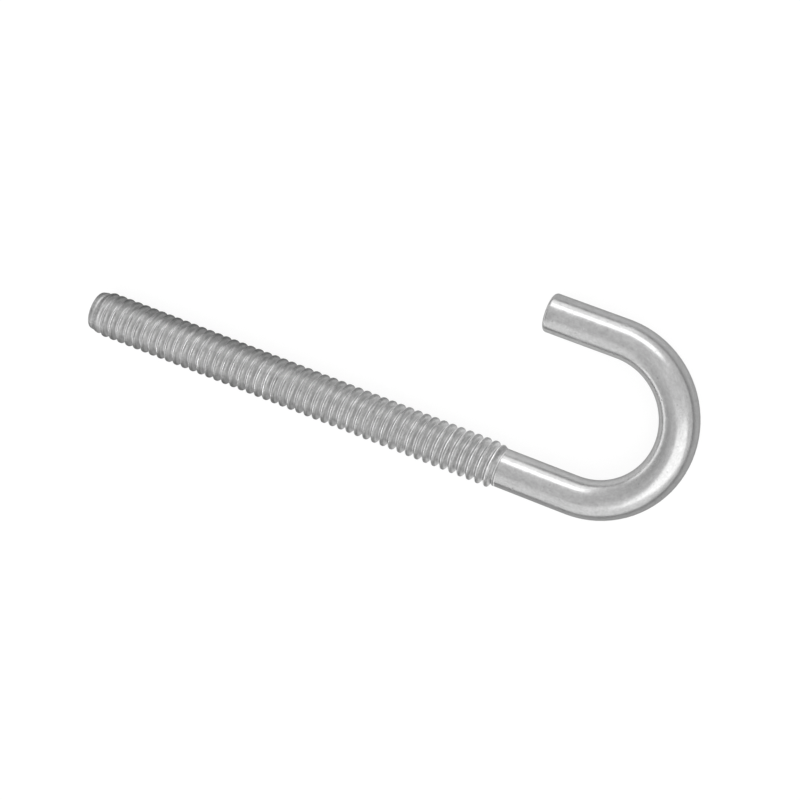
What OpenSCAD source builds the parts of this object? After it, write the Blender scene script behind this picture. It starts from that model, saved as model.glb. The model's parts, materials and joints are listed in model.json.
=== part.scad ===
// Hook bolt: one length of steel rod, threaded at one end and bent back on itself at the other.
// It lies at rest: +X runs along the thread towards the hook, +Y towards the leg, +Z up.

/* [Thread] */
// Outside diameter over the crests of the thread
thread_d = 6.2; // [5.4:0.1:8]
// Distance from one crest to the next
thread_pitch = 1.27; // [0.8:0.01:2]
// Width of the flat on a crest
crest_w = 0.32; // [0.1:0.01:0.4]
// Width of the flat at the bottom of a groove
root_w = 0.16; // [0.05:0.01:0.3]
// Length from the tip's face to the end of the full thread
thread_len = 61.6; // [20:0.2:120]
// Length over which the last turn fades into the rod
runout_len = 1; // [0.4:0.1:3]

/* [Tip] */
// Diameter of the flat face at the tip
tip_d = 5.2; // [3:0.1:5.4]
// Length of the bevel that leads a nut on
tip_len = 1.8; // [0.6:0.1:4]

/* [Rod] */
// Diameter of the plain rod in the shank, the bend and the leg
rod_d = 5.3; // [4:0.1:7]
// Length of plain shank between the run-out and the bend
plain_len = 9.4; // [2:0.2:40]

/* [Hook] */
// Width inside the hook, from the shank to the leg
hook_inside_d = 16.4; // [8:0.2:40]
// Straight length of the leg past the bend
leg_len = 10.4; // [2:0.2:40]
// Rounding of the rim at the end of the leg
leg_edge_r = 0.5; // [0.1:0.1:1.5]

/* [Hidden] */
$fn = 96;
rod_r = rod_d / 2;
thread_r = thread_d / 2;
// Standard threads have sides at 60 degrees to each other, so pitch and flats give the depth
thread_angle = 60;
flank_w = (thread_pitch - crest_w - root_w) / 2;
thread_depth = flank_w / tan(thread_angle / 2);
root_r = thread_r - thread_depth;
// Grooves are counted back from the last full crest, up to half a pitch from the tip's face
last_groove = thread_len - (thread_pitch + crest_w) / 2;
groove_count = floor(last_groove / thread_pitch + 0.5);
// The bend turns half a circle, so the leg runs back beside the shank
bend_angle = 180;
bend_r = hook_inside_d / 2 + rod_r;
leg_y = 2 * bend_r;
runout_end = thread_len + runout_len;
shank_len = runout_end + plain_len;
// At rest the widest round of the shank and the side of the leg both touch the ground
rest_r = max(thread_r, rod_r);
rest_roll = asin((rest_r - rod_r) / leg_y);
// Middle of the outside of the part at rest
mid_x = (shank_len + bend_r + rod_r) / 2;
mid_y = (leg_y * cos(rest_roll) + rod_r - rest_r) / 2;

// Half of the shank's section before the thread: bevelled tip, round over the crests, run-out and plain rod
module shank_section() {
    polygon([
        [0, 0],
        [tip_d / 2, 0],
        [thread_r, tip_len],
        [thread_r, thread_len],
        [rod_r, runout_end],
        [rod_r, shank_len],
        [0, shank_len]
    ]);
}

// Section of one groove, from its bottom out to where its sides meet those of the next groove
module groove_section() {
    meet_depth = (thread_pitch - root_w) / 2 / tan(thread_angle / 2);
    polygon([
        [root_r, -root_w / 2],
        [root_r + meet_depth, -thread_pitch / 2],
        [root_r + meet_depth, thread_pitch / 2],
        [root_r, root_w / 2]
    ]);
}

// Shank about the thread's axis, with the thread as rings of true pitch and section
module shank() {
    rotate([0, 90, 0])
        rotate_extrude()
            difference() {
                shank_section();
                for (i = [0 : groove_count - 1])
                    translate([0, last_groove - i * thread_pitch])
                        groove_section();
            }
}

// Half turn of the rod, from the end of the shank round to the start of the leg
module bend() {
    translate([shank_len, bend_r, 0])
        rotate([0, 0, -90])
            rotate_extrude(angle = bend_angle)
                translate([bend_r, 0])
                    circle(r = rod_r);
}

// Round bar along +Z that stands on a plain face and has a rounded rim at its far end
module rounded_bar(r, len, edge_r) {
    cylinder(r = r, h = len - edge_r);
    translate([0, 0, len - edge_r])
        rotate_extrude() {
            square([r - edge_r, edge_r]);
            translate([r - edge_r, 0])
                intersection() {
                    circle(r = edge_r);
                    square(edge_r);
                }
        }
}

// Leg that runs back towards the tip, beside the shank
module leg() {
    translate([shank_len, leg_y, 0])
        rotate([0, -90, 0])
            rounded_bar(rod_r, leg_len, leg_edge_r);
}

module hook_bolt() {
    color("silver")
        translate([-mid_x, -mid_y, rest_r])
            rotate([-rest_roll, 0, 0]) {
                shank();
                bend();
                leg();
            }
}

hook_bolt();
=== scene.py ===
# %% [markdown]
# # A zinc-plated hook bolt
# A hook bolt is one length of steel rod. One end carries a rolled machine thread, and the other is bent
# back on itself into a hook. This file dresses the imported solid: it works the rod's skin out again with
# its true helical thread, gives it two finishes of bright zinc plating, and sets it on white paper
# among soft boxes. Everything is in metres, in the solid's own frame, so nothing has to be fitted
# afterwards.

# %% Load the solid
import json
import math

import bmesh
import bpy
import numpy as np
from mathutils import Matrix, Quaternion, Vector


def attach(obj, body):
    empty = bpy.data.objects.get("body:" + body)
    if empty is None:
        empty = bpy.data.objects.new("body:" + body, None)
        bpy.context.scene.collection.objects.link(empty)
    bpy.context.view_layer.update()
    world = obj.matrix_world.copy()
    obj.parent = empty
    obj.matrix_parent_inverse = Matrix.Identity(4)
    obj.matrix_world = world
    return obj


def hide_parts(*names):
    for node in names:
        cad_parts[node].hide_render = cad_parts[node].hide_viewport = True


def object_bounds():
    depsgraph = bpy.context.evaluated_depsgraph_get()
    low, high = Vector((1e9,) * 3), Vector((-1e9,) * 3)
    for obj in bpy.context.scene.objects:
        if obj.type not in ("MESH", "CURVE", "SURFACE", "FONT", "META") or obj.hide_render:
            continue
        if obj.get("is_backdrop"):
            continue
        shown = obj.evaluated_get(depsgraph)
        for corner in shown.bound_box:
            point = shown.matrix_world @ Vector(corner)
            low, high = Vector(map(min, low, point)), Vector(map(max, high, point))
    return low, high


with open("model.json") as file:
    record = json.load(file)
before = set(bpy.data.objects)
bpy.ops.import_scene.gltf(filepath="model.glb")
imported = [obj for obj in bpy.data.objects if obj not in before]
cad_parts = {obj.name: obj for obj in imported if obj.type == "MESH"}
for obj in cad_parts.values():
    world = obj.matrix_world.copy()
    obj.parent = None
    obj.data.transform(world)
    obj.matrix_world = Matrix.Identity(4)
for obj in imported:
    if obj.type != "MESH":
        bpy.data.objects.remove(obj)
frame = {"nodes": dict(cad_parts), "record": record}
solid_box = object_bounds()
MM = 0.001
low, high = [[round(v / MM, 2) for v in corner] for corner in solid_box]
print("solid from", low, "to", high, "mm")

# %% [markdown]
# ## Sizes of the rod
# The solid already knows every size of the bolt, so they are read from it instead of being typed again:
# its mounts give the thread's axis and the inside of the hook, and its corner points give the ends. If
# the solid is made longer or thicker, the skin below follows.

# %% Read the sizes from the solid
ON_TIP_FACE = 0.01 * MM

solid_mesh = frame["nodes"]["hook_bolt"].data
corners = np.empty(3 * len(solid_mesh.vertices))
solid_mesh.vertices.foreach_get("co", corners)
corners = corners.reshape(-1, 3)
mounts = {mount["name"]: mount for mount in frame["record"]["mounts"]}
axis_point = np.array(mounts["thread"]["pos_m"])
thread_r = mounts["thread"]["dims"]["r_mm"] * MM
wall_len = mounts["thread"]["dims"]["length_mm"] * MM
saddle = np.array(mounts["hook_saddle"]["pos_m"])

tip_x = corners[:, 0].min()
apex_x = corners[:, 0].max()
rod_r = (apex_x - saddle[0]) / 2
bend_r = mounts["hook_saddle"]["dims"]["r_mm"] * MM + rod_r
shank_len = apex_x - rod_r - bend_r - tip_x
bevel_len = axis_point[0] - wall_len / 2 - tip_x
thread_len = bevel_len + wall_len
leg_corners = corners[corners[:, 1] > saddle[1]]
leg_len = shank_len - (leg_corners[leg_corners[:, 0] < tip_x + shank_len, 0].min() - tip_x)
tip_corners = corners[corners[:, 0] < tip_x + ON_TIP_FACE]
tip_r = np.linalg.norm(tip_corners[:, 1:] - axis_point[1:], axis=1).max()
rest_roll = math.asin((thread_r - rod_r) / (2 * bend_r))
bend_len = math.pi * bend_r
path_len = shank_len + bend_len + leg_len

rod_sizes = {
    "thread radius": thread_r,
    "rod radius": rod_r,
    "tip radius": tip_r,
    "bend radius": bend_r,
    "bevel length": bevel_len,
    "thread length": thread_len,
    "shank length": shank_len,
    "leg length": leg_len,
    "whole length": path_len,
}
for name, size in rod_sizes.items():
    print(f"{name} {size / MM:.2f} mm")

# %% [markdown]
# ## Camera
# The photograph looks down on the bolt from the hook's side with a long lens, and the picture is turned
# so that the thread runs down to the right. The place, aim and roll were found by matching the outline
# of a rod of this size to the outline in the photograph. Aiming a level camera and then rolling it
# keeps these values readable, where a bare rotation would hide them.

# %% Place the camera
CAMERA_AT = Vector((89.425, 66.743, 286.283)) * MM
CAMERA_AIM = Vector((3.101, -7.047, 3.0)) * MM
CAMERA_ROLL = math.radians(-111.525)
LENS_MM = 103.13
SENSOR_MM = 36.0
NEAREST_SEEN = 0.01

camera_data = bpy.data.cameras.new("camera")
camera_data.lens = LENS_MM
camera_data.sensor_width = SENSOR_MM
camera_data.clip_start = NEAREST_SEEN
camera = bpy.data.objects.new("camera", camera_data)
camera.location = CAMERA_AT
camera.rotation_mode = "QUATERNION"
level = (CAMERA_AIM - CAMERA_AT).to_track_quat("-Z", "Y")
camera.rotation_quaternion = level @ Quaternion((0, 0, 1), CAMERA_ROLL)
bpy.context.scene.collection.objects.link(camera)
bpy.context.scene.camera = camera
print("camera", round((CAMERA_AT - CAMERA_AIM).length, 3), "m from the bolt")

# %% [markdown]
# ## The rod's path
# A bent rod is a round section carried along a line: straight through the shank, half round a circle,
# and straight back along the leg. A curve object with a bevel could draw it, but the thread needs a
# section that changes as it turns, so the path is a plain function of the length run from the tip,
# worked out for whole arrays at once.

# %% Path of the centreline
def lay_along_rod(run, turn, radius):
    """Points of the rod's skin for arrays of run (length from the tip), turn (angle round it) and radius.

    The bend's angle is the run past the shank over the bend's radius, held between none and half a
    circle. The centre goes along the shank, round that angle and back along the leg; the point lies radius
    away from it, towards the inside of the hook at turn 0 and upwards at a quarter turn. The whole is then
    rolled about the thread's axis until thread and leg both touch the ground.
    """
    bent = np.clip((run - shank_len) / bend_r, 0, math.pi)
    back = np.maximum(run - shank_len - bend_len, 0)
    inward = radius * np.cos(turn)
    x = np.minimum(run, shank_len) + (bend_r - inward) * np.sin(bent) - back
    y = bend_r - (bend_r - inward) * np.cos(bent)
    z = radius * np.sin(turn)
    roll_cos, roll_sin = math.cos(rest_roll), math.sin(rest_roll)
    lifted = np.stack([x + tip_x, y * roll_cos + z * roll_sin, z * roll_cos - y * roll_sin], axis=-1)
    return lifted + [0, axis_point[1], axis_point[2]]


apex = lay_along_rod(np.array(shank_len + bend_len / 2), np.array(math.pi), np.array(rod_r))
print("apex of the hook at", (apex / MM).round(2), "mm")

# %% [markdown]
# ## The rolled thread
# Rolling presses a plain rod between two grooved dies: the grooves sink below the rod and the metal
# flows up into crests that stand above it. The section is a ridge whose sides stand at 60 degrees to
# each other, with its crest and root eased into curves. A bump map would lose the scalloped outline, so
# the ridge is real: its depth is a function of the run and the turn.

# %% Section of the thread
PITCH = 1.27 * MM
# 1 for a right-hand thread, -1 for a left-hand one
HAND = -1
ROOT_R = 2.42 * MM
# Slant of a ridge's sides, and the radius at which ridge and groove are equally wide
FLANK = math.radians(30)
FLANK_R = 2.88 * MM
CREST_EASE = 0.20 * MM
ROOT_EASE = 0.10 * MM
# One crest of the photograph lies this far before the bend, at this angle round the rod
CREST_BEFORE_BEND = 11.205 * MM
CREST_TURN = math.radians(165.29)


def soft_min(a, b, width):
    """The lesser of a and b, with the corner where they cross rounded over a width."""
    mix = np.clip(0.5 + (b - a) / (2 * width), 0, 1)
    return b + (a - b) * mix - width * mix * (1 - mix)


def crest_count(run, turn):
    """Crests passed at a place on the thread: the run in pitches, less the turns of the helix."""
    return (run - shank_len + CREST_BEFORE_BEND) / PITCH - HAND * (turn - CREST_TURN) / (2 * math.pi)


def section_depth(run, turn):
    """Depth of the skin in the full thread: 0 on a crest and 1 at the bottom of a groove.

    The distance from the nearest crest, along the rod, is the count's distance from a whole number. A
    sharp ridge falls from the crest at the flank's slope; easing it against the crest and root radii rounds
    both.
    """
    count = crest_count(run, turn)
    off_crest = np.abs(count - np.round(count)) * PITCH
    slope = 1 / math.tan(FLANK)
    ridge = FLANK_R + slope * (PITCH / 4 - off_crest)
    section = soft_min(ridge, thread_r, CREST_EASE)
    section = -soft_min(-section, -ROOT_R, ROOT_EASE)
    return (thread_r - section) / (thread_r - ROOT_R)


print(f"{thread_len / PITCH:.1f} pitches of {PITCH / MM:.2f} mm on the thread")

# %% [markdown]
# ## Ends of the thread
# At the tip a bevel holds the crests down, so that a nut starts easily, and the grooves deepen from
# nothing. At the other end the dies lift away, and the last turn fades into the plain rod. What stands
# above the rod and what lies below it could fade together, but over lengths of their own they give the
# short, uneven run-out of a real bolt.

# %% Radius along the threaded end
TIP_FADE = 2.6 * MM
# From and to, counted from the end of the full thread
CREST_FADE = (-0.75 * MM, 0.35 * MM)
ROOT_FADE = (-0.35 * MM, 0.15 * MM)
SAMPLES = 200


def ease(low, high, value):
    """Smooth step: 0 below low, 1 above high, and 3t^2 - 2t^3 between."""
    t = np.clip((value - low) / (high - low), 0, 1)
    return t * t * (3 - 2 * t)


def groove_depth(run, turn):
    """Depth of the thread's section, growing from nothing at the tip."""
    return section_depth(run, turn) * ease(0, TIP_FADE, run)


def thread_radius(run, turn):
    """Radius of the skin along the threaded end.

    The bevel gives the crests' radius near the tip, and the groove sinks from there to the root. Past the
    full thread, what stands above the rod and what lies below it each fade to the plain rod.
    """
    bevel = tip_r + (thread_r - tip_r) * np.clip(run / bevel_len, 0, 1)
    radius = bevel + (np.minimum(ROOT_R, bevel) - bevel) * groove_depth(run, turn)
    past = run - thread_len
    kept = np.where(radius > rod_r, 1 - ease(*CREST_FADE, past), 1 - ease(*ROOT_FADE, past))
    return rod_r + (radius - rod_r) * kept


one_pitch = thread_radius(thread_len / 2 + np.linspace(0, PITCH, SAMPLES), 0)
print(f"thread from {one_pitch.min() / MM:.2f} to {one_pitch.max() / MM:.2f} mm radius")

# %% [markdown]
# ## The skin as grids
# A grid of rings cuts a thread's crest at a slant and leaves it ragged. Here each row of the threaded
# grid climbs with the helix, one pitch in a turn, so that crests and roots run along the rows of
# points. Where such a row would pass the end of its stretch it is held there, and doubled points are
# merged afterwards. The rest of the rod is plain rings, and each end face is a fan of rings with an
# eased rim.

# %% Make the grids
AROUND = 96
ROWS_PER_PITCH = 16
RING_STEP = 0.8 * MM
TIP_RIM = 0.18 * MM
LEG_RIM = 0.5 * MM
RIM_ROWS = 7
FACE_ROWS = 5
# The helical grid goes on this far past the full thread, to hold its run-out
RUNOUT_LEN = 0.5 * MM

turn_line = np.linspace(0, 2 * math.pi, AROUND + 1)
thread_end = thread_len + RUNOUT_LEN


def helix_grid():
    """Run and radius where rows climb a pitch in each turn, held between the tip's rim and the run-out."""
    first = TIP_RIM - PITCH
    rows = math.ceil((thread_end + PITCH - first) / PITCH * ROWS_PER_PITCH) + 1
    start = first + np.arange(rows) * PITCH / ROWS_PER_PITCH
    run = np.clip(start[:, None] + HAND * PITCH * turn_line / (2 * math.pi), TIP_RIM, thread_end)
    return run, thread_radius(run, turn_line)


def ring_grid(run_line, radius_line):
    """Run and radius of plain rings: each row has one run and one radius all the way round."""
    ones = np.ones(AROUND + 1)
    return np.outer(run_line, ones), np.outer(radius_line, ones)


def end_rings(end, into, radius, rim):
    """Rings of an end face: from its centre out to the rim, then a quarter circle round the edge."""
    flat = np.linspace(0, radius - rim, FACE_ROWS)
    angle = np.linspace(0, math.pi / 2, RIM_ROWS)
    run = np.concatenate([np.full(FACE_ROWS, end), end + into * rim * (1 - np.cos(angle))])
    return ring_grid(run, np.concatenate([flat, radius - rim * (1 - np.sin(angle))]))


plain_len = path_len - LEG_RIM - thread_end
plain_run = np.linspace(thread_end, path_len - LEG_RIM, math.ceil(plain_len / RING_STEP) + 1)
leg_run, leg_radius = end_rings(path_len, -1, rod_r, LEG_RIM)
grids = {
    "tip": end_rings(0, 1, thread_radius(np.array(TIP_RIM), 0), TIP_RIM),
    "thread": helix_grid(),
    "rod": ring_grid(plain_run, np.full_like(plain_run, rod_r)),
    "leg_end": (leg_run[::-1], leg_radius[::-1]),
}
for name, (run, radius) in grids.items():
    print(name, "grid", run.shape)

# %% [markdown]
# ## One mesh
# The bolt is one piece of steel, so the four grids become one mesh; separate ones would show a joint.
# Each point also remembers two things for the finishes. One is where it would lie if the rod were
# straight, so that drawing lines follow the hook round its bend. The other is its place on the thread:
# how deep it lies, and its way from one crest to the next as a point on a circle, so that no seam shows
# between turns.

# %% Join the grids
THREADED = ("tip", "thread")


def grid_faces(rows, columns, first):
    """Corner numbers of a grid's squares, facing outwards; its points count row by row from first."""
    corner = first + np.arange(rows * columns).reshape(rows, columns)
    squares = [corner[:-1, :-1], corner[:-1, 1:], corner[1:, 1:], corner[1:, :-1]]
    return np.stack(squares, axis=-1).reshape(-1, 4)


def skin_of_grid(run, radius):
    """Points of one grid, their places on the straight rod in millimetres, and on the thread.

    On the straight rod a point has its run, and radius times the cosine and sine of its turn. On the
    thread it has its depth, and the cosine and sine of the crests passed, with one crest as a full circle.
    """
    turn = np.broadcast_to(turn_line, run.shape)
    points = lay_along_rod(run, turn, radius)
    straight = np.stack([run, radius * np.cos(turn), radius * np.sin(turn)], axis=-1) / MM
    circle = 2 * math.pi * crest_count(run, turn)
    helix = np.stack([groove_depth(run, turn), np.cos(circle), np.sin(circle)], axis=-1)
    return [layer.reshape(-1, 3) for layer in (points, straight, helix)]


def join_grids():
    """One mesh of all grids, with both places as attributes, and the threaded end in the second finish."""
    layers, faces, threaded = [], [], []
    count = 0
    for name, (run, radius) in grids.items():
        layers.append(skin_of_grid(run, radius))
        faces.append(grid_faces(*run.shape, count))
        threaded.append(np.full(len(faces[-1]), name in THREADED))
        count += run.size
    points, straight, helix = [np.concatenate(layer) for layer in zip(*layers)]
    mesh = bpy.data.meshes.new("hook_bolt_skin")
    mesh.from_pydata(points, [], np.concatenate(faces))
    mesh.polygons.foreach_set("material_index", np.concatenate(threaded).astype(np.int32))
    for name, places in (("straight", straight), ("helix", helix)):
        stored = mesh.attributes.new(name, "FLOAT_VECTOR", "POINT")
        stored.data.foreach_set("vector", places.ravel())
    return mesh


bolt_mesh = join_grids()
print(len(bolt_mesh.vertices), "points before the grids are merged")

# %% [markdown]
# ## Merging the skin
# Where grids meet, at the two poles, and along the seam where a row comes back to its start, points lie
# more than once in one place. Left so, the shading would break there, so they are merged. One hairline
# stays open, at the tip's rim: the end face is a true circle and the thread's first ring isn't quite,
# by less than 0.003 mm. The open edges that are counted here are those two rings. A volume above
# nothing shows that the faces point outwards.

# %% Merge the skin
# Points nearer to each other than this, in metres, are one point
MERGE = 1e-7


def merge_skin(mesh):
    """Merges points that meet, smooths the shading, and prints the open edges and the volume."""
    work = bmesh.new()
    work.from_mesh(mesh)
    bmesh.ops.remove_doubles(work, verts=work.verts, dist=MERGE)
    open_edges = sum(not edge.is_manifold for edge in work.edges)
    volume = work.calc_volume(signed=True)
    work.to_mesh(mesh)
    work.free()
    mesh.shade_smooth()
    triangles = len(mesh.loops) - 2 * len(mesh.polygons)
    print(f"skin of {triangles} triangles, {open_edges} open edges, {volume / MM ** 3:.0f} cubic mm")


merge_skin(bolt_mesh)
bolt = bpy.data.objects.new("hook_bolt_skin", bolt_mesh)
bpy.context.scene.collection.objects.link(bolt)
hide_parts("hook_bolt")
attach(bolt, "root")

# %% [markdown]
# ## Shader sums
# Finishes are written as sums. A small class holds one output of a node, and its operators add Math
# nodes, so that `1 - mask` or `noise * 0.2 + 0.3` reads as it would on paper. Every other node goes
# through one method, which sets the node's own settings before its sockets, because some settings
# change which sockets there are.

# %% Signals
class Signal:
    """One output of a shader node, ready for sums."""

    def __init__(self, socket):
        self.socket = socket
        self.tree = socket.id_data

    @staticmethod
    def node(tree, kind, settings, sockets, output=0):
        """Adds a node to a tree: its settings first, then the values or links of its sockets."""
        made = tree.nodes.new(kind)
        for name, value in settings.items():
            if name == "stops":
                elements = made.color_ramp.elements
                while len(elements) < len(value):
                    elements.new(1.0)
                for element, (place, grey) in zip(elements, value):
                    element.position = place
                    element.color = (grey, grey, grey, 1)
            else:
                setattr(made, name, value)
        for name, value in sockets.items():
            if isinstance(value, Signal):
                tree.links.new(value.socket, made.inputs[name])
            else:
                made.inputs[name].default_value = value
        return Signal(made.outputs[output])

    def math(self, operation, first, second):
        """Adds a Math node to this signal's tree."""
        return Signal.node(self.tree, "ShaderNodeMath", {"operation": operation}, {0: first, 1: second})

    def __add__(self, other):
        return self.math("ADD", self, other)

    def __sub__(self, other):
        return self.math("SUBTRACT", self, other)

    def __rsub__(self, other):
        return self.math("SUBTRACT", other, self)

    def __mul__(self, other):
        return self.math("MULTIPLY", self, other)

    __radd__ = __add__
    __rmul__ = __mul__


print("sums ready: add, subtract and multiply")

# %% [markdown]
# ## Marks on plated steel
# Plating follows the marks that lie under it: clouds, lines left by a die, pits and scratches. Picture
# textures would need the skin unwrapped. Here each mark is cloud noise on the straightened rod,
# squeezed along or across it, and a ramp cuts pits or scratches out of a noise. A colour, a roughness
# or a height is then a plain value plus each mark times its share.

# %% Helpers for a finish
# Cloud noise lies between 0 and 1, round this value
MIDDLE = 0.5


def start_material(name):
    """A new node material, with its Principled shader."""
    material = bpy.data.materials.new(name)
    material.use_nodes = True
    return material, material.node_tree.nodes["Principled BSDF"]


def attribute(material, name):
    """What the mesh's points remember under a name, as a signal."""
    return Signal.node(material.node_tree, "ShaderNodeAttribute", {"attribute_name": name}, {}, "Vector")


def noise(place, squeeze, fineness, detail):
    """Cloud noise at a place, which is first multiplied by squeeze along each of its axes."""
    squeezed = Signal.node(place.tree, "ShaderNodeMapping", {}, {"Vector": place, "Scale": squeeze})
    sockets = {"Vector": squeezed, "Scale": fineness, "Detail": detail}
    return Signal.node(place.tree, "ShaderNodeTexNoise", {}, sockets)


def ramp(signal, *stops):
    """Maps a signal to grey by stops of (place, value), with straight lines between them."""
    return Signal.node(signal.tree, "ShaderNodeValToRGB", {"stops": stops}, {"Fac": signal})


def change(signal, places, values=(0.0, 1.0)):
    """Goes straight from one value to another between two places of a signal, and is level outside."""
    low, high = places
    return ramp((signal - low) * (1 / (high - low)), (0.0, values[0]), (1.0, values[1]))


def weigh(plain, marks, shares):
    """A plain value plus each mark times its share."""
    for name, share in shares.items():
        plain = plain + marks[name] * share
    return plain


def plate(material, shader, grey, rough, height, edge):
    """Connects a metal finish: grey, roughness, height in millimetres, and the tint of its edges."""
    bump_sockets = {"Strength": 1.0, "Distance": MM, "Height": height}
    bump = Signal.node(material.node_tree, "ShaderNodeBump", {}, bump_sockets)
    for name, signal in {"Base Color": grey, "Roughness": rough, "Normal": bump}.items():
        material.node_tree.links.new(signal.socket, shader.inputs[name])
    shader.inputs["Metallic"].default_value = 1.0
    shader.inputs["Specular Tint"].default_value = (edge, edge, edge, 1)
    return material


print("marks lie round", MIDDLE)

# %% [markdown]
# ## Zinc on the drawn rod
# Bright zinc is a neutral grey metal whose gloss drifts in soft clouds. On the plain rod it lies over
# what the drawing die left: faint lines along the steel and a scatter of small pits. One even grey
# would look like plastic, so noises of several sizes each move the grey, the gloss and the height a
# little.

# %% Finish of the rod
ROD_GREY = 0.41
ROD_ROUGH = 0.25
ROD_EDGE = 0.58
# Squeeze along the rod and across it, fineness per millimetre, detail
ROD_NOISES = {
    "clouds": ((0.35, 1.0, 1.0), 0.6, 3.0),
    "mottle": ((0.7, 1.0, 1.0), 1.8, 3.0),
    "drawn": ((0.06, 1.0, 1.0), 3.5, 3.0),
    "grain": ((1.0, 1.0, 1.0), 4.0, 2.0),
}
PIT_NOISE = ((0.7, 1.0, 1.0), 2.6, 2.0)
PIT_STOPS = ((0.24, 1.0), (0.33, 0.0))
# Shares of the marks in the grey, in the roughness, and in the height in millimetres
ROD_SHADES = {"clouds": 0.08, "mottle": 0.14, "drawn": 0.06, "grain": 0.10, "pits": -0.10}
ROD_GLOSSES = {"mottle": 0.06, "clouds": 0.08}
ROD_HEIGHTS = {"clouds": 0.009, "drawn": 0.001, "pits": -0.008}


def rod_zinc():
    """Plating of the drawn rod: soft clouds, mottling and grain, drawing lines, and small pits."""
    material, shader = start_material("zinc_on_rod")
    straight = attribute(material, "straight")
    marks = {name: noise(straight, *pattern) - MIDDLE for name, pattern in ROD_NOISES.items()}
    marks["pits"] = ramp(noise(straight, *PIT_NOISE), *PIT_STOPS)
    grey = weigh(ROD_GREY, marks, ROD_SHADES)
    rough = weigh(ROD_ROUGH, marks, ROD_GLOSSES)
    height = weigh(0, marks, ROD_HEIGHTS)
    return plate(material, shader, grey, rough, height, ROD_EDGE)


bolt.data.materials.append(rod_zinc())
print("finish of the rod:", bolt.data.materials[0].name)

# %% [markdown]
# ## Places on the thread
# Marks of rolling wind round with the ridge, so the thread's finish has to know where on the ridge it
# is. The mesh gives that as a point on a circle, and how near it is to any chosen place is one dot
# product. Noise read on the same circle, with a slow drift along and across the rod, winds with the
# thread and has no seam, which noise read on the straight rod alone couldn't do.

# %% Find places on the thread
WIND_DRIFT = (0.6, 0.12, 0.12)
CIRCLE_ONLY = (0, 1, 1)


def part_of(vector, axis):
    """One of the three numbers of a vector."""
    return Signal.node(vector.tree, "ShaderNodeSeparateXYZ", {}, {"Vector": vector}, axis)


def dot(vector, way):
    """Dot product of a vector with a fixed one."""
    settings = {"operation": "DOT_PRODUCT"}
    return Signal.node(vector.tree, "ShaderNodeVectorMath", settings, {0: vector, 1: way}, "Value")


def near_phase(helix, phase):
    """Nearness to a place between two crests: the cosine of the distance, a pitch being a full circle."""
    angle = 2 * math.pi * phase
    return dot(helix, (0, math.cos(angle), math.sin(angle)))


def wind(straight, helix):
    """A place that winds with the thread: its point on the circle, plus a slow drift along and across."""
    tree = straight.tree
    drift = Signal.node(tree, "ShaderNodeMapping", {}, {"Vector": straight, "Scale": WIND_DRIFT})
    sockets = {0: helix, 1: CIRCLE_ONLY, 2: drift}
    return Signal.node(tree, "ShaderNodeVectorMath", {"operation": "MULTIPLY_ADD"}, sockets)


print("drift along the thread", WIND_DRIFT[0], "for each millimetre")

# %% [markdown]
# ## Painted highlights and painted light on the thread
# A line of lower roughness winds along the tip's side of each crest, broken in patches and never quite
# straight, and the last turn ends in a like edge; on both the grey is raised nearly to white, a painted
# highlight. The flank on the hook's side is painted paler than the crests, painted light that evens out the
# shade in the grooves. Painting stripes would need the thread unrolled, so each is the nearness to a place
# on the ridge, cut by a ramp.

# %% Stripes along the ridge
# Places between two crests, in pitches after a crest
LINE_PHASE = -0.14
FLANK_PHASE = 0.35
RUNOUT_PHASE = 0.60
QUARTER_PITCH = 0.25
# Stops of nearness, or of groove depth, and the stripe's strength there
LINE_STOPS = ((0.885, 0.0), (0.955, 1.0))
FLANK_STOPS = ((0.2, 0.2), (1.0, 1.0))
RUNOUT_STOPS = ((0.92, 0.0), (0.99, 0.7))
GROOVE_STOPS = ((0.0, 0.0), (0.4, 1.0))
WANDER_NOISE = ((1.0, 1.0, 1.0), 0.5, 1.0)
WANDER = 0.9


def line_gloss_and_painted_highlight(helix, wound):
    """The line of lower roughness beside each crest, which also carries a painted highlight; adding some of
    the wave a quarter pitch on moves it sideways.
    """
    aside = (noise(wound, *WANDER_NOISE) - MIDDLE) * WANDER
    on_line = near_phase(helix, LINE_PHASE) + aside * near_phase(helix, LINE_PHASE + QUARTER_PITCH)
    return ramp(on_line, *LINE_STOPS)


def painted_light_on_flank(helix):
    """Painted light on the flank on the hook's side of each crest, from a little below the crest downwards.
    """
    return ramp(near_phase(helix, FLANK_PHASE), *FLANK_STOPS) * ramp(part_of(helix, "X"), *GROOVE_STOPS)


def runout_gloss_and_painted_highlight(helix):
    """The edge that the last turn ends in, with its lower roughness and painted highlight."""
    return ramp(near_phase(helix, RUNOUT_PHASE), *RUNOUT_STOPS)


print("stripes at", LINE_PHASE, FLANK_PHASE, "and", RUNOUT_PHASE, "pitches after a crest")

# %% [markdown]
# ## Zinc on the rolled thread
# The thread has the same plating as the rod, but rolling has left it duller, with streaks and scratches
# that wind round it. The bevelled tip has no highlight line, and the run-out has its edge with a painted
# highlight instead of the painted light on the flank. One finish for the whole bolt would have to switch
# all of this on and off, so the threaded end has a finish of its own.

# %% Finish of the thread
CREST_GREY = 0.28
# Grey of the hook-side flank: painted light that evens out the shade in the grooves
FLANK_PAINTED_LIGHT_GREY = 0.71
# Grey of the painted highlight on the line and on the run-out edge
PAINTED_HIGHLIGHT_GREY = 1.00
THREAD_ROUGH = 0.42
LINE_ROUGH = 0.20
TIP_DULLING = 0.06
THREAD_EDGE = 0.85
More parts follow.
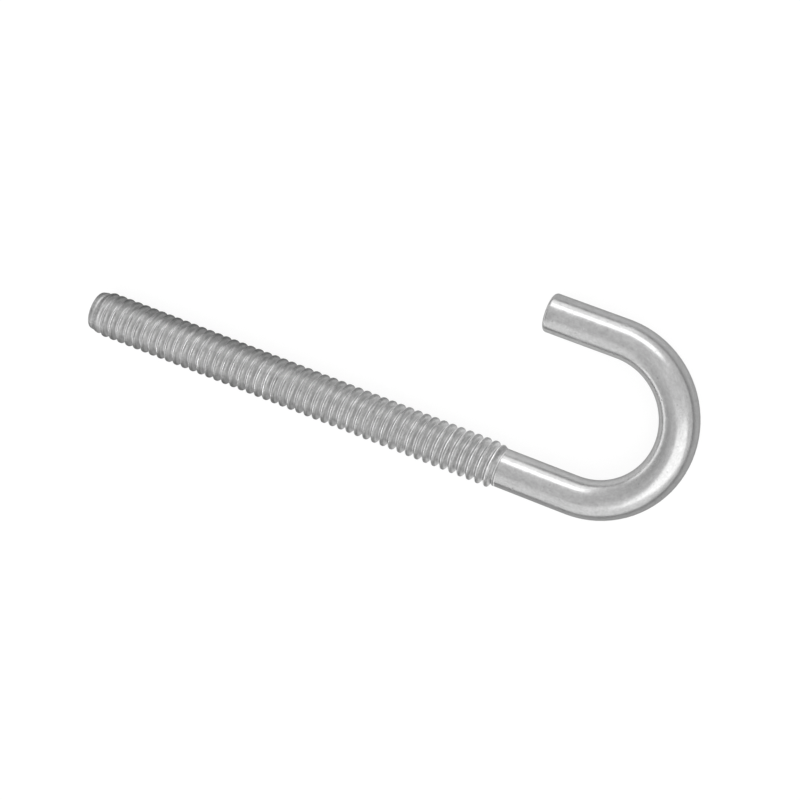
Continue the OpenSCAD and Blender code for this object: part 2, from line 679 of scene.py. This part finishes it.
# Runs, in millimetres, over which the line comes in at the tip and the run-out begins
TIP_RUN = (1.2, 3.2)
RUNOUT_RUN = (thread_len / MM - 0.40, thread_len / MM - 0.15)
THREAD_NOISES = {
    "mottle": ((0.5, 1.0, 1.0), 1.8, 3.0),
    "grain": ((1.0, 1.0, 1.0), 4.0, 2.0),
}
ROLLED_NOISE = ((1.0, 1.0, 1.0), 1.1, 3.0)
SCRATCH_NOISE = ((1.0, 1.0, 1.0), 3.2, 1.0)
SCRATCH_STOPS = ((0.46, 0.0), (0.50, 1.0), (0.54, 0.0))
PATCH_NOISE = ((1.0, 0.6, 0.6), 1.2, 3.0)
PATCH_STOPS = ((0.38, 0.35), (0.60, 1.0))
THREAD_SHADES = {"rolled": 0.28, "mottle": 0.16, "scratches": 0.08, "grain": 0.25}
THREAD_GLOSSES = {"rolled": 0.30}
THREAD_HEIGHTS = {"rolled": 0.008, "scratches": 0.003, "grain": 0.006, "line": 0.010}


def thread_zinc():
    """Plating of the rolled thread: dull crests, flanks with painted light, winding marks and painted
    highlight stripes.
    """
    material, shader = start_material("zinc_on_thread")
    straight = attribute(material, "straight")
    helix = attribute(material, "helix")
    wound = wind(straight, helix)
    run = part_of(straight, "X")
    past_tip = change(run, TIP_RUN)
    at_end = change(run, RUNOUT_RUN)

    marks = {name: noise(straight, *pattern) - MIDDLE for name, pattern in THREAD_NOISES.items()}
    marks["rolled"] = noise(wound, *ROLLED_NOISE) - MIDDLE
    marks["scratches"] = ramp(noise(wound, *SCRATCH_NOISE), *SCRATCH_STOPS)
    patches = ramp(noise(straight, *PATCH_NOISE), *PATCH_STOPS)
    marks["line"] = line_gloss_and_painted_highlight(helix, wound) * patches * past_tip
    # Painted highlight of the line and the run-out edge in the grey; in the roughness it is real gloss
    gloss_and_painted_highlight = marks["line"] + runout_gloss_and_painted_highlight(helix) * patches * at_end
    # Painted light on the hook-side flank, evening out the shade in the grooves
    flank = painted_light_on_flank(helix) * (1 - at_end)

    plain = weigh(CREST_GREY + flank * (FLANK_PAINTED_LIGHT_GREY - CREST_GREY), marks, THREAD_SHADES)
    grey = plain + gloss_and_painted_highlight * (PAINTED_HIGHLIGHT_GREY - plain)
    rough = weigh(THREAD_ROUGH, marks, THREAD_GLOSSES) + gloss_and_painted_highlight * (LINE_ROUGH - THREAD_ROUGH)
    rough = rough + (1 - past_tip) * TIP_DULLING
    height = weigh(0, marks, THREAD_HEIGHTS)
    return plate(material, shader, grey, rough, height, THREAD_EDGE)


bolt.data.materials.append(thread_zinc())
print("finishes on the bolt:", [material.name for material in bolt.data.materials])

# %% [markdown]
# ## Soft boxes
# Metal shows what stands round it, so the white bands on the bolt are pictures of lamps. A strong box
# beyond the top of the picture draws the band along shank and leg, and a wide one beyond its foot draws
# the band round the outside of the bend. Two dimmer fills lie farther out on the same sides, and a tall
# card at the left brightens the inside of the bend. A lamp's place in the room says little about where
# its band falls, so each is placed by the tilt of a small mirror that would show it: the band lies
# where the rod has that tilt.

# %% Place the soft boxes
BOX_AWAY = 0.9
# Mirror's tilt to the picture's right and up; width and height in metres; slant in degrees; brightness
SOFT_BOXES = {
    "upper_box": ((0.00, 0.37), (0.70, 0.30), -42, 2.35),
    "upper_fill": ((-0.04, 0.60), (0.60, 0.45), 8, 0.75),
    "lower_box": ((0.10, -0.30), (1.00, 0.70), 4, 1.25),
    "lower_fill": ((-0.18, -0.61), (1.20, 1.20), -27, 0.30),
    "side_card": ((-0.80, 0.02), (0.40, 1.60), 0, 1.30),
}


def soft_box(name, tilt, size, slant, brightness):
    """A rectangular lamp that faces the bolt; its power is brightness times pi times its area.

    A mirror tilted so, seen from the camera, shows what lies at twice its tilt: there the box goes.
    """
    mirror = Vector((*tilt, math.sqrt(1 - tilt[0] ** 2 - tilt[1] ** 2)))
    in_picture = 2 * mirror.z * mirror - Vector((0, 0, 1))
    lamp = bpy.data.lights.new(name, "AREA")
    lamp.shape = "RECTANGLE"
    lamp.size, lamp.size_y = size
    lamp.energy = brightness * math.pi * size[0] * size[1]
    box = bpy.data.objects.new(name, lamp)
    towards = camera.rotation_quaternion @ in_picture
    across = camera.rotation_quaternion @ Quaternion((0, 0, 1), math.radians(slant)) @ Vector((1, 0, 0))
    upright = towards.cross(across).normalized()
    box.location = CAMERA_AIM + towards * BOX_AWAY
    box.rotation_mode = "QUATERNION"
    facing = Matrix((upright.cross(towards), upright, towards)).transposed()
    box.rotation_quaternion = facing.to_quaternion()
    bpy.context.scene.collection.objects.link(box)
    print(name, "at", [round(v, 2) for v in box.location])


for name, box_sizes in SOFT_BOXES.items():
    soft_box(name, *box_sizes)

# %% [markdown]
# ## Room
# The rest of what the metal shows is the room: even and pale, and dimmer towards one side, which gives
# the soft grey between the bright bands. Walls could be built for that, but a world whose tone depends
# on the direction does the same with three numbers. The Standard view then shows each tone as it is
# written.

# %% Light the room
DIM_SIDE = (-0.78, -0.17, 0.60)
# The room's tones, and the nearness to the dim side, as a cosine, where each is reached
ROOM_TONES = (1.13, 0.86, 0.60)
DIM_EDGES = (0.62, 0.93, 1.0)

world = bpy.data.worlds.new("room")
world.use_nodes = True
way_out = Signal.node(world.node_tree, "ShaderNodeTexCoord", {}, {}, "Generated")
room_tone = ramp(dot(way_out, DIM_SIDE), *zip(DIM_EDGES, ROOM_TONES))
world.node_tree.links.new(room_tone.socket, world.node_tree.nodes["Background"].inputs["Color"])
bpy.context.scene.world = world
bpy.context.scene.view_settings.view_transform = "Standard"
print("room tones", ROOM_TONES, "towards", DIM_SIDE)

# %% [markdown]
# ## Paper
# To the camera the paper is white, with the bolt's soft shadow on it. In the metal it shows a painted pool
# of light under the hook with painted shade away from it, and that painted darker paper draws the dark
# edges along the rod as painted reflections. Two sheets can't lie in one place, so one sheet asks the Light
# Path node which ray has come. Part of what it shows is a glow of its own, which evens out the lamps; in
# the metal that glow has the painted pool's tone.

# %% Finish of the paper
# Middle of the painted pool of light on the paper, which the metal mirrors
PAINTED_POOL_AT = (0.025, 0.003, 0.0)
# Distances from the painted pool's middle, in metres, between which its painted tone goes from light to
# shade, and its tones there
PAINTED_POOL_EDGE = (0.010, 0.044)
PAINTED_POOL_TONES = (1.00, 0.32)
PAPER_ROUGH = 0.9
# Shares of glow in what the camera sees and in what the metal mirrors
GLOW_SEEN = 0.88
GLOW_MIRRORED = 0.45
WHITE = (1, 1, 1, 1)


def painted_pool_tone(tree):
    """Painted tone of the paper, a pool of light that fades to painted shade, by its distance from the
    pool's middle.
    """
    place = Signal.node(tree, "ShaderNodeTexCoord", {}, {}, "Object")
    sockets = {0: place, 1: PAINTED_POOL_AT}
    away = Signal.node(tree, "ShaderNodeVectorMath", {"operation": "DISTANCE"}, sockets, "Value")
    return change(away, PAINTED_POOL_EDGE, PAINTED_POOL_TONES)


def ray_is(tree, kind):
    """1 where a ray of this kind has come, and 0 for others."""
    return Signal.node(tree, "ShaderNodeLightPath", {}, {}, kind)


def mix_shaders(share, first, second):
    """Two shaders in one, with a share of the second."""
    return Signal.node(share.tree, "ShaderNodeMixShader", {}, {0: share, 1: first, 2: second})


def paper_finish():
    """Paper that is white to the camera and shows the painted pool in the metal, lit in part and glowing in
    part.
    """
    material, shader = start_material("paper")
    tree = material.node_tree
    # The painted pool of light and the painted shade round it, as the paper's tone
    tone = painted_pool_tone(tree)
    to_camera = ray_is(tree, "Is Camera Ray")
    mirrored = ray_is(tree, "Is Glossy Ray") + ray_is(tree, "Is Transmission Ray")
    grey = tone + to_camera * (1 - tone)
    tree.links.new(grey.socket, shader.inputs["Base Color"])
    shader.inputs["Roughness"].default_value = PAPER_ROUGH
    shader.inputs["Specular IOR Level"].default_value = 0.0
    lit = Signal(shader.outputs["BSDF"])
    # A glow in the painted pool's tone, so the metal mirrors painted light and shade
    painted_pool_glow = Signal.node(tree, "ShaderNodeEmission", {}, {"Color": tone, "Strength": 1.0})
    white = Signal.node(tree, "ShaderNodeEmission", {}, {"Color": WHITE, "Strength": 1.0})
    in_metal = mix_shaders(mirrored * GLOW_MIRRORED, lit, painted_pool_glow)
    surface = mix_shaders(to_camera * GLOW_SEEN, in_metal, white)
    tree.links.new(surface.socket, tree.nodes["Material Output"].inputs["Surface"])
    return material


paper_material = paper_finish()
print("paper tones", PAINTED_POOL_TONES, "in the metal")

# %% [markdown]
# ## The sheet
# A photographer's paper would curve up behind the bolt. This camera looks down and sees no wall, so one
# flat square is enough. It is so wide that it fills all that the metal shows below the horizon.

# %% Lay the sheet
PAPER_SIDE = 6.0

half = PAPER_SIDE / 2
paper_mesh = bpy.data.meshes.new("paper_sheet")
paper_corners = [(-half, -half, 0), (half, -half, 0), (half, half, 0), (-half, half, 0)]
paper_mesh.from_pydata(paper_corners, [], [(0, 1, 2, 3)])
paper_mesh.materials.append(paper_material)
paper = bpy.data.objects.new("paper_sheet", paper_mesh)
bpy.context.scene.collection.objects.link(paper)
paper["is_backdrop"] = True
print("sheet", PAPER_SIDE, "m wide")

# %% [markdown]
# The skin stands in for the solid, so both have to fill the same box. A look at the render can't show a
# tenth of a millimetre, so both boxes are compared.

# %% Compare the sizes
dressed_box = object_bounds()
sizes = {"cad": [list(v) for v in solid_box], "visual": [list(v) for v in dressed_box]}
largest = np.abs(np.subtract(sizes["visual"], sizes["cad"])).max()
print(f"skin and solid differ by {largest / MM:.4f} mm at most")
